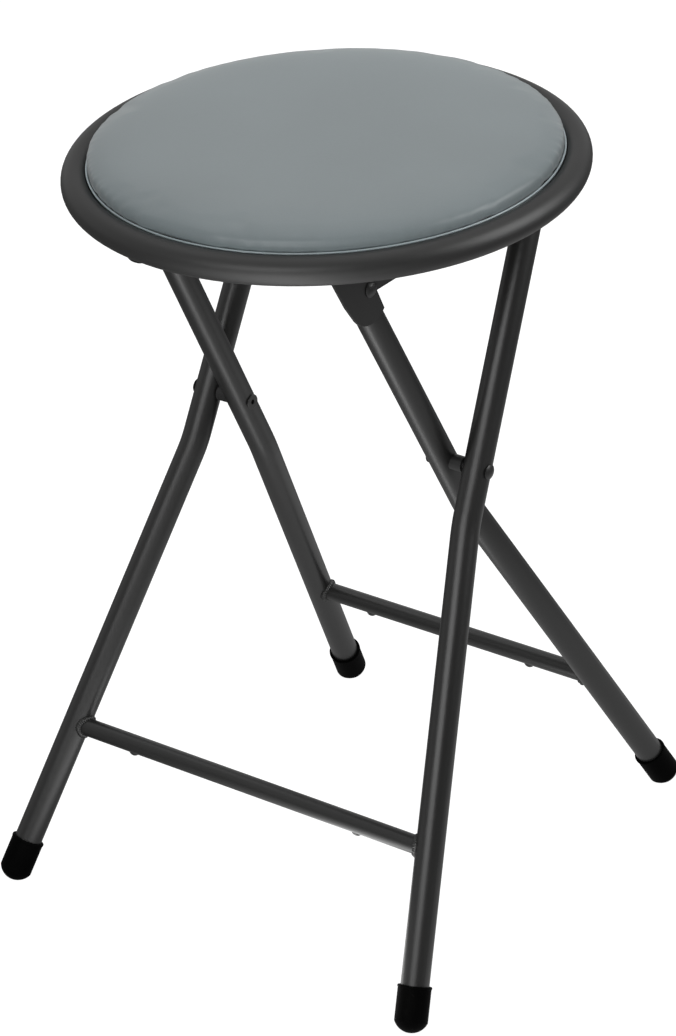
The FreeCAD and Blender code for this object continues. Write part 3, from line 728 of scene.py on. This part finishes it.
PAD_FLOOR_Z = PAD_LOW.z + 7.05 * MM
PAD_EDGE_ROUND = 4.0 * MM
PAD_CROWN = 0.4 * MM
PAD_DOME = 1.2 * MM
PAD_SLOPE = 4.4 * MM
PAD_FLAT = PAD_RADIUS - PAD_EDGE_ROUND
PAD_UNEVEN_Z = PAD_HIGH.z - 7.2 * MM
PAD_REACH = RIM_TUBE + 0.25 * MM
PAD_PRESS = 1.8 * MM
PAD_PRESS_REACH = 10 * MM
PAD_TOP_STEPS = 24
PAD_EDGE_STEPS = 6
RIPPLE_LONG = 16.0
RIPPLE_SHORT = 37.0
SWELL_FRAMES = 20
SWELL_LIMIT = 1.6
WELT_INSET = 0.3 * MM
WELT_Z = PAD_HIGH.z - 14.3 * MM


def pad_top(radius):
    """Height of the pad's top over a radius: nearly flat, then falling towards its edge."""
    share = min(1.0, radius / PAD_FLAT)
    return PAD_HIGH.z + PAD_CROWN - PAD_DOME * share ** 2 - PAD_SLOPE * share ** 10


def pad_profile(inset):
    """Half outline of the pad, from its middle on top round to its middle below."""
    points = []
    for step in range(PAD_TOP_STEPS + 1):
        radius = PAD_FLAT * step / PAD_TOP_STEPS
        points.append((radius, pad_top(radius) - inset))
    edge_z = points[-1][1] - PAD_EDGE_ROUND
    for step in range(1, PAD_EDGE_STEPS + 1):
        turn = math.radians(90 - 90 * step / PAD_EDGE_STEPS)
        points.append((
            PAD_FLAT - inset + PAD_EDGE_ROUND * math.cos(turn), edge_z + PAD_EDGE_ROUND * math.sin(turn),
        ))
    points.append((PAD_RADIUS - inset - WELT_INSET, WELT_Z))
    points.append((beside_rim(PAD_FLOOR_Z, inset), PAD_FLOOR_Z))
    points.append((0.0, PAD_FLOOR_Z))
    return points


def beside_rim(height, inset=0.0):
    """The radius at which the cover lies against the inside of the rim's tube."""
    reach = PAD_REACH + inset
    return RIM_RING - math.sqrt(reach ** 2 - (height - SEAT.z) ** 2)


def turned_solid(profile, steps=180):
    """A closed solid turned about the seat's axis from a half outline."""
    bm = bmesh.new()
    top = bm.verts.new(seat_point(0.0, *profile[0]))
    bottom = bm.verts.new(seat_point(0.0, *profile[-1]))
    rings = [
        [bm.verts.new(seat_point(2 * math.pi * step / steps, *point)) for step in range(steps)]
        for point in profile[1:-1]
    ]
    for step in range(steps):
        after = (step + 1) % steps
        bm.faces.new((top, rings[0][step], rings[0][after]))
        bm.faces.new((bottom, rings[-1][after], rings[-1][step]))
        for upper, lower in zip(rings, rings[1:]):
            bm.faces.new((upper[step], lower[step], lower[after], upper[after]))
    return bm


def swell(pad, before, most):
    """Let the foam swell under its cover, no further than a limit, and keep the result."""
    cloth = pad.modifiers.new("swell", "CLOTH")
    settings = cloth.settings
    settings.quality = 5
    settings.mass = 0.3
    settings.tension_stiffness = 25.0
    settings.compression_stiffness = 25.0
    settings.bending_stiffness = 4.0
    settings.use_pressure = True
    settings.uniform_pressure_force = 4.0
    settings.effector_weights.gravity = 0.0
    cloth.point_cache.frame_start = 1
    cloth.point_cache.frame_end = SWELL_FRAMES
    for number in range(1, SWELL_FRAMES + 1):
        bpy.context.scene.frame_set(number)
    swollen = convert(pad, "swollen")
    pad.modifiers.remove(cloth)
    bpy.context.scene.frame_set(1)
    for vertex, moved, start in zip(pad.data.vertices, swollen.vertices, before):
        step = moved.co - start
        if step.length > most:
            step = step.normalized() * most
        vertex.co = start + step
    bpy.data.meshes.remove(swollen)


def keep_clear(point):
    """Hold a point of the pad in its space, between board, rim and the seat's top."""
    plan = Vector((point.x - SEAT.x, point.y - SEAT.y, 0.0))
    if plan.length > PAD_RADIUS:
        plan = plan.normalized() * PAD_RADIUS
        point = Vector((SEAT.x + plan.x, SEAT.y + plan.y, point.z))
    if plan.length > BOARD_RADIUS:
        ring = SEAT + plan.normalized() * RIM_RING
        gap = point - ring
        if gap.length < PAD_REACH:
            point = ring + gap.normalized() * PAD_REACH
    point.z = min(point.z, pad_top(plan.length))
    point.z = max(point.z, PAD_FLOOR_Z)
    return point


def pressed_out(point):
    """Press the pad's side outwards, so that the foam fills its cover right up to the rim."""
    plan = Vector((point.x - SEAT.x, point.y - SEAT.y, 0.0))
    share = max(0.0, min(1.0, 1.0 - (PAD_FLAT - plan.length) / PAD_PRESS_REACH))
    return point + plan.normalized() * PAD_PRESS * share ** 2


def uneven_top(point):
    """Soft unevenness of foam under its cover, fading out towards the edge."""
    radius = math.hypot(point.x - SEAT.x, point.y - SEAT.y)
    fade = max(0.0, 1.0 - (radius / PAD_FLAT) ** 6)
    wave = noise.noise(point * RIPPLE_LONG) + 0.5 * noise.noise(point * RIPPLE_SHORT)
    return point.z + sizes().pad_ripple * fade * wave


class STOOL_OT_cushion(bpy.types.Operator):
    """Build the swollen cushion over the board"""

    bl_idname = "stool.cushion"
    bl_label = "Cushion"

    def execute(self, context):
        inset = sizes().pad_swell
        pad = object_from("cushion", turned_solid(pad_profile(inset)), finish("cover"))
        remesh = pad.modifiers.new("cells", "REMESH")
        remesh.mode = "VOXEL"
        remesh.voxel_size = sizes().pad_voxel
        mesh = settle(pad)
        before = [vertex.co.copy() for vertex in mesh.vertices]
        swell(pad, before, SWELL_LIMIT * sizes().pad_swell)
        smooth = pad.modifiers.new("even", "SMOOTH")
        smooth.factor = 0.5
        smooth.iterations = 2
        finer = pad.modifiers.new("finer", "SUBSURF")
        finer.levels = 1
        finer.render_levels = 1
        mesh = settle(pad)
        for vertex in mesh.vertices:
            if vertex.co.z > PAD_UNEVEN_Z:
                vertex.co.z = uneven_top(vertex.co)
            vertex.co = keep_clear(pressed_out(vertex.co))
        mesh.materials.clear()
        mesh.materials.append(finish("cover"))
        for polygon in mesh.polygons:
            polygon.use_smooth = True
        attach(pad, SEAT_BODY)
        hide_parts("seat_cushion")
        return {"FINISHED"}


class STOOL_OT_cover_edge(bpy.types.Operator):
    """Build the cover's rolled edge, its skirt round the board, and its hem below"""

    bl_idname = "stool.cover_edge"
    bl_label = "Cover edge and hem"

    def execute(self, context):
        section = circle_profile(PAD_RADIUS - WELT_INSET, WELT_Z, sizes().welt_radius, 10)
        welt = object_from("cover_welt", ring_mesh(section, 288), finish("welt"))
        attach(welt, SEAT_BODY)
        skirt = object_from("cover_skirt", skirt_mesh(), finish("cover"))
        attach(skirt, SEAT_BODY)
        return {"FINISHED"}


# the hem: its cloth, its folded edge, its gathers, and how it stops beside the rails
HEM_THICKNESS = 0.7 * MM
HEM_FOLD = 5.0 * MM
HEM_SEAT = 0.05 * MM
HEM_CORNER = 0.6 * MM
HEM_RISE = 0.3 * MM
HEM_GATHER = 0.55 * MM
HEM_WANDER = 1.2
HEM_WANDER_TURNS = 5
HEM_STOP_INSIDE = 5 * MM
HEM_STOP_OUTSIDE = 9 * MM
HEM_FADE = 4 * MM
HEM_STEPS = 720
HEM_MARGIN = 5
SKIRT_GAP = 0.1 * MM
SKIRT_TUCK = 0.4 * MM
STAPLE_PLACE = 0.55
STAPLE_PROUD = 0.6 * MM
STAPLE_PATH_STEPS = 60


def rail_share(angle):
    """How much of the hem is left at an angle: all of it, but none where a rail crosses."""
    across = abs(BOARD_RADIUS * math.cos(angle))
    gap = max(RAIL_LOW.x - HEM_STOP_INSIDE - across, across - RAIL_HIGH.x - HEM_STOP_OUTSIDE)
    return max(0.0, min(1.0, gap / HEM_FADE))


def skirt_mesh():
    """The cover's skirt down the board's edge, and its gathered hem underneath."""
    inner = BOARD_RADIUS + SKIRT_GAP
    outer = RIM_RING - PAD_REACH
    hem = BOARD_RADIUS - sizes().hem_width
    low = BOARD_LOW.z
    top = PAD_FLOOR_Z + SKIRT_TUCK
    heights = [top + (SEAT.z - top) * step / 4 for step in range(5)]
    profile = [(inner, top)] + [(beside_rim(height), height) for height in heights] + [
        (outer, low + HEM_CORNER),
        (outer - 0.5 * MM, low - HEM_THICKNESS * 0.6),
        (outer - 1.4 * MM, low - HEM_THICKNESS),
        (hem + HEM_FOLD, low - HEM_THICKNESS),
        (hem, low - HEM_THICKNESS),
        (hem, low - HEM_SEAT),
        (hem + HEM_FOLD, low - HEM_SEAT),
        (inner - 1.0 * MM, low - HEM_SEAT),
        (inner, low + HEM_CORNER),
    ]

    def gather(angle, radius, height):
        left = rail_share(angle)
        inside = max(0.0, inner - radius)
        if height < low - HEM_THICKNESS * 0.5:
            share = min(1.0, inside / sizes().hem_width)
            fold = math.sin(angle * sizes().hem_pleats + HEM_WANDER * math.sin(angle * HEM_WANDER_TURNS))
            height -= HEM_GATHER * share * max(0.0, fold)
        if height < low + HEM_RISE:
            height = low + HEM_RISE + (height - low - HEM_RISE) * left
        return max(radius, inner - inside * left), height

    return ring_mesh(profile, sizes().hem_pleats * 10, gather)


def staple_mesh():
    """A wire staple's crown with its two short legs, lying along X."""
    bm = bmesh.new()
    wide, thick = 5.0 * MM, 0.35 * MM
    leg_middle, leg_half = 0.6 * MM, 0.7 * MM
    for centre, reach in (
        ((0.0, 0.0, 0.0), (wide, thick, thick)),
        ((-wide + thick, 0.0, leg_middle), (thick, thick, leg_half)),
        ((wide - thick, 0.0, leg_middle), (thick, thick, leg_half)),
    ):
        made = bmesh.ops.create_cube(bm, size=2.0)["verts"]
        bmesh.ops.scale(bm, vec=reach, verts=made)
        bmesh.ops.translate(bm, vec=centre, verts=made)
    bmesh.ops.bevel(bm, geom=bm.edges, offset=0.12 * MM, segments=1, affect="EDGES")
    return bm


class STOOL_OT_staples(bpy.types.Operator):
    """Set a ring of staples in the hem under the board"""

    bl_idname = "stool.staples"
    bl_label = "Staples"

    def execute(self, context):
        piece = object_from("staple_piece", staple_mesh(), finish("screw"), smooth=False)
        piece.data.transform(Matrix.Rotation(math.radians(90), 4, "Y"))
        radius = BOARD_RADIUS - STAPLE_PLACE * sizes().hem_width
        low = BOARD_LOW.z - HEM_THICKNESS - STAPLE_PROUD
        meshes = []
        for number, (start, end) in enumerate(hem_arcs()):
            count = max(2, round(sizes().staple_count * (end - start) / (2 * math.pi)))
            points = [
                seat_point(start + (end - start) * step / STAPLE_PATH_STEPS, radius, low)
                for step in range(STAPLE_PATH_STEPS + 1)
            ]
            meshes.append(repeated(
                f"staples_{number}", points, False, piece, count, finish("screw"), seed=number + 3
            ))
        discard(piece)
        made = joined("hem_staples", meshes, finish("screw"), smooth=False)
        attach(made, SEAT_BODY)
        return {"FINISHED"}


def hem_arcs():
    """The spans of angle, in turn, over which the hem is whole."""
    arcs = []
    turn = 2 * math.pi
    whole = [rail_share(turn * step / HEM_STEPS) >= 1.0 for step in range(HEM_STEPS)]
    first = whole.index(False)
    start = None
    for step in range(first, first + HEM_STEPS + 1):
        if whole[step % HEM_STEPS] and start is None:
            start = step
        if not whole[step % HEM_STEPS] and start is not None:
            arcs.append((turn * (start + HEM_MARGIN) / HEM_STEPS, turn * (step - HEM_MARGIN) / HEM_STEPS))
            start = None
    return arcs


# welds

def ripple_piece():
    """One ripple of a weld bead: a flattened ball, round the path's own direction."""
    bm = bmesh.new()
    bmesh.ops.create_icosphere(bm, subdivisions=2, radius=1.0)
    bmesh.ops.scale(bm, vec=(1.0, 1.0, 0.8), verts=bm.verts)
    return object_from("ripple_piece", bm, finish("weld"))


# each leg's straight lower axis: x and y of its foot, then x, y and z of its bend
LEG_AXES = {
    "outer": (0.1494, -0.1532, 0.0992, -0.0108, 0.2465),
    "inner": (0.122, 0.1532, 0.0755, 0.0236, 0.236),
}
LEG_RADIUS = RIM_TUBE
STRETCHER_RADIUS = 5.5 * MM

# the heights over which a stretcher's end is looked for, and how far its skin may reach
SEAM_LOW = 0.07
SEAM_STEP = 0.0001
SEAM_STEPS = 400
SEAM_REACH = 0.03
SEAM_HALVINGS = 30

# the arc of the rim's tube that a rail is welded along, in degrees, and the bead's lift off it
RAIL_SEAM_START = 195
RAIL_SEAM_SWEEP = 45
RAIL_SEAM_STEPS = 12
RAIL_SEAM_LIFT = 0.1 * MM

# the least number of ripples in a bead, and how much they differ in size
BEAD_LEAST = 4
BEAD_UNEVENNESS = 0.3


class LegLine:
    """The straight lower axis of a leg, from its foot to its bend."""

    def __init__(self, frame_name, side):
        sign = -1.0 if side == "left" else 1.0
        foot_x, foot_y, bend_x, bend_y, bend_z = LEG_AXES[frame_name]
        self.start = Vector((sign * foot_x, foot_y, 0.0))
        self.direction = (Vector((sign * bend_x, bend_y, bend_z)) - self.start).normalized()

    def at(self, height):
        return self.start + self.direction * (height / self.direction.z)

    def away(self, point):
        offset = point - self.start
        return (offset - self.direction * offset.dot(self.direction)).length


def stretcher_seam(frame_name, side, steps=72):
    """The closed line where a stretcher's skin meets its leg's skin."""
    low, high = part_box(f"{frame_name}_stretcher")
    middle_y = (low.y + high.y) / 2
    line = LegLine(frame_name, side)
    places = [line.at(SEAM_LOW + number * SEAM_STEP) for number in range(SEAM_STEPS)]
    centre = min(places, key=lambda place: abs(place.y - middle_y))
    inward = -1.0 if side == "right" else 1.0

    def skin(turn, reach):
        across, up = STRETCHER_RADIUS * math.cos(turn), STRETCHER_RADIUS * math.sin(turn)
        return centre + Vector((inward * reach, across, up))

    points = []
    for step in range(steps):
        turn = 2 * math.pi * step / steps
        near, far = 0.0, SEAM_REACH
        for _ in range(SEAM_HALVINGS):
            middle = (near + far) / 2
            if line.away(skin(turn, middle)) < LEG_RADIUS:
                near = middle
            else:
                far = middle
        points.append(skin(turn, far))
    return points


def rail_seams(side):
    """The lines where a rail's outer face meets the rim, in front and behind."""
    sign = -1.0 if side == "left" else 1.0
    low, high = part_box(f"seat_rail_{side}")
    face = max(abs(low.x), abs(high.x))
    seams = []
    for toward in (-1.0, 1.0):
        points = []
        for step in range(RAIL_SEAM_STEPS + 1):
            turn = math.radians(RAIL_SEAM_START + RAIL_SEAM_SWEEP * step / RAIL_SEAM_STEPS)
            ring = RIM_RING + (RIM_TUBE + RAIL_SEAM_LIFT) * math.cos(turn)
            height = SEAT.z + (RIM_TUBE + RAIL_SEAM_LIFT) * math.sin(turn)
            deep = math.sqrt(max(0.0, ring * ring - face * face))
            points.append(Vector((sign * face, SEAT.y + toward * deep, height)))
        seams.append(points)
    return seams


def weld_beads(name, seams, body):
    """Weld beads along several seams, as one piece."""
    piece = ripple_piece()
    meshes = []
    for number, (points, closed) in enumerate(seams):
        count = max(BEAD_LEAST, round(path_length(points, closed) / sizes().weld_step))
        meshes.append(repeated(
            f"{name}_{number}", points, closed, piece, count, finish("weld"),
            size=sizes().weld_radius, unevenness=BEAD_UNEVENNESS * sizes().weld_radius,
            seed=number + 11,
        ))
    discard(piece)
    made = joined(name, meshes, finish("weld"))
    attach(made, body)


class STOOL_OT_welds(bpy.types.Operator):
    """Lay the weld beads of stretchers and rails"""

    bl_idname = "stool.welds"
    bl_label = "Weld beads"

    def execute(self, context):
        for frame_name, body in (("outer", OUTER), ("inner", INNER)):
            seams = [(stretcher_seam(frame_name, side), True) for side in ("left", "right")]
            weld_beads(f"{frame_name}_stretcher_welds", seams, body)
        seams = [(seam, False) for side in ("left", "right") for seam in rail_seams(side)]
        weld_beads("rail_welds", seams, SEAT_BODY)
        return {"FINISHED"}


# finishes of the frame's own nodes

def pairs(*names):
    return tuple(f"{name}_{side}" for name in names for side in ("left", "right"))


NODE_FINISHES = {
    "rim": ("seat_rim",),
    "coat": pairs("seat_rail", "inner_leg", "outer_leg", "hinge_rivet", "pivot_rivet") + (
        "inner_stretcher", "inner_stretcher_studs", "outer_stretcher", "outer_stretcher_studs",
    ),
    "board": ("seat_board",),
    "rubber": pairs("inner_foot_cap", "outer_foot_cap"),
    "plastic": pairs("inner_leg_plug", "outer_leg_plug", "hinge_washer", "pivot_spacer", "rod_washer"),
    "rod": ("cross_rod",),
    "screw": ("board_screws",),
}


class STOOL_OT_finishes(bpy.types.Operator):
    """Give every piece of the frame its finish"""

    bl_idname = "stool.finishes"
    bl_label = "Finishes"

    def execute(self, context):
        for name, members in NODE_FINISHES.items():
            for member in members:
                slots = NODES[member].material_slots
                if slots:
                    for slot in slots:
                        slot.material = finish(name)
                else:
                    NODES[member].data.materials.append(finish(name))
        return {"FINISHED"}


# studio

# how bright the floor is to the camera, and how bright its streak and glow are in the gloss
FLOOR_LIFT = 0.95
FLOOR_STREAK = 2.3
FLOOR_STREAK_STOPS = [(0.14, 0.0), (0.228, 0.2), (0.298, 1.0), (0.315, 1.0), (0.352, 0.18), (0.5, 0.0)]
FLOOR_GLOW_PLACE = (0.16, 0.24, 0.0)
FLOOR_GLOW_REACH = 0.55
FLOOR_GLOW_STOPS = [(0.0, 0.15), (0.65, 0.46)]
WORLD_STRENGTH = 0.15
WORLD_GLOW_WAY = (-0.85, 0.45, 0.3)
WORLD_GLOW_SHIFT = 0.2
WORLD_GLOW_STOPS = [(0.0, 0.08), (0.8, 0.36)]
LAMP_TARGET = Vector((0.0, 0.0, 0.25))

# each lamp's place, width, height and power, and whether it shows in the gloss
LAMPS = {
    "key_lamp": ((0.45, -2.3, 1.72), 1.9, 1.2, 15.5, True),
    "front_lamp": ((0.5, -2.1, 1.0), 1.4, 0.6, 7.0, False),
    "low_lamp": ((1.0, -1.8, 0.6), 1.8, 0.3, 13.0, False),
    "back_lamp": ((-2.0, 2.4, 0.6), 4.0, 1.2, 3.5, True),
    "side_lamp": ((1.0, 0.6, 0.95), 0.9, 0.9, 7.0, True),
    "top_lamp": ((-0.6, 0.75, 1.25), 0.8, 0.8, 9.6, False),
    "sky_lamp": ((-0.2, 0.2, 2.8), 3.0, 3.0, 9.0, True),
}


def camera_axes():
    """Right, up and backward directions of the camera."""
    yaw, pitch, roll = (math.radians(a) for a in (CAMERA_YAW, CAMERA_PITCH, CAMERA_ROLL))
    forward = Vector((
        math.sin(yaw) * math.cos(pitch), math.cos(yaw) * math.cos(pitch), math.sin(pitch),
    ))
    right = Vector((math.cos(yaw), -math.sin(yaw), 0.0))
    up = right.cross(forward)
    tilted_right = right * math.cos(roll) + up * math.sin(roll)
    tilted_up = -right * math.sin(roll) + up * math.cos(roll)
    return tilted_right, tilted_up, -forward


def area_lamp(name, place, width, height, power, glossy):
    data = bpy.data.lights.new(name, "AREA")
    data.shape = "RECTANGLE"
    data.size = width
    data.size_y = height
    data.energy = power
    lamp = bpy.data.objects.new(name, data)
    bpy.context.scene.collection.objects.link(lamp)
    lamp.location = place
    lamp.rotation_euler = (LAMP_TARGET - Vector(place)).to_track_quat("-Z", "Y").to_euler()
    lamp.visible_camera = False
    lamp.visible_glossy = glossy


def photograph_camera():
    """The camera that the photograph was taken with, looking at the whole stool."""
    data = bpy.data.cameras.new("photograph_camera")
    data.sensor_fit = "VERTICAL"
    data.sensor_height = CAMERA_SENSOR
    data.sensor_width = CAMERA_SENSOR
    data.lens = CAMERA_LENS
    data.clip_end = CAMERA_FAR
    camera = bpy.data.objects.new("photograph_camera", data)
    bpy.context.scene.collection.objects.link(camera)
    turned = Matrix(camera_axes()).transposed().to_4x4()
    camera.matrix_world = Matrix.Translation(CAMERA_PLACE) @ turned
    return camera


def studio_world():
    world = bpy.data.worlds.new("studio")
    bpy.context.scene.world = world
    world.use_nodes = True
    tree = world.node_tree
    back = tree.nodes["Background"]
    path = tree.nodes.new("ShaderNodeLightPath")
    seen = arithmetic(tree, "MAXIMUM", path.outputs["Is Camera Ray"], path.outputs["Is Transmission Ray"])
    gain = arithmetic(tree, "MULTIPLY", seen, 1.0 - WORLD_STRENGTH)
    level = arithmetic(tree, "ADD", gain, WORLD_STRENGTH)
    place = tree.nodes.new("ShaderNodeTexCoord")
    toward = tree.nodes.new("ShaderNodeVectorMath")
    toward.operation = "DOT_PRODUCT"
    toward.inputs[1].default_value = WORLD_GLOW_WAY
    tree.links.new(place.outputs["Generated"], toward.inputs[0])
    along = arithmetic(tree, "ADD", toward.outputs["Value"], WORLD_GLOW_SHIFT)
    shift = ramp(tree, along, WORLD_GLOW_STOPS)
    shift = arithmetic(tree, "SUBTRACT", shift, WORLD_STRENGTH)
    shift = arithmetic(tree, "MULTIPLY", path.outputs["Is Glossy Ray"], shift)
    tree.links.new(arithmetic(tree, "ADD", level, shift), back.inputs["Strength"])
    back.inputs["Color"].default_value = (1.0, 1.0, 1.0, 1.0)


class STOOL_OT_stage(bpy.types.Operator):
    """Set up the floor, the soft lights and the camera"""

    bl_idname = "stool.stage"
    bl_label = "Stage"

    def execute(self, context):
        scene = context.scene
        half = sizes().floor_size / 2
        bm = bmesh.new()
        corners = [(-half, -half), (half, -half), (half, half), (-half, half)]
        bm.faces.new([bm.verts.new((x, y, 0.0)) for x, y in corners])
        floor = object_from("studio_floor", bm, finish("floor"), smooth=False)
        studio_world()
        for name, values in LAMPS.items():
            area_lamp(name, *values)
        scene.camera = photograph_camera()
        scene.view_settings.view_transform = "Standard"
        return {"FINISHED"}


class STOOL_PT_panel(bpy.types.Panel):
    """Lists the stool's pieces in the sidebar"""

    bl_idname = "STOOL_PT_panel"
    bl_label = "Folding stool"
    bl_space_type = "VIEW_3D"
    bl_region_type = "UI"
    bl_category = "Stool"

    def draw(self, context):
        for operator in OPERATORS:
            self.layout.operator(operator.bl_idname)


OPERATORS = (
    STOOL_OT_finishes, STOOL_OT_cushion, STOOL_OT_cover_edge, STOOL_OT_staples, STOOL_OT_welds,
    STOOL_OT_stage,
)
CLASSES = (StoolSizes, StoolColours) + OPERATORS + (STOOL_PT_panel,)


def register():
    for item in CLASSES:
        bpy.utils.register_class(item)
    bpy.types.Scene.stool_sizes = PointerProperty(type=StoolSizes)
    bpy.types.Scene.stool_colours = PointerProperty(type=StoolColours)


def unregister():
    del bpy.types.Scene.stool_colours
    del bpy.types.Scene.stool_sizes
    for item in reversed(CLASSES):
        bpy.utils.unregister_class(item)


def main():
    register()
    bpy.ops.stool.finishes()
    bpy.ops.stool.cushion()
    bpy.ops.stool.cover_edge()
    bpy.ops.stool.staples()
    bpy.ops.stool.welds()
    bpy.ops.stool.stage()


if __name__ == "__main__":
    main()
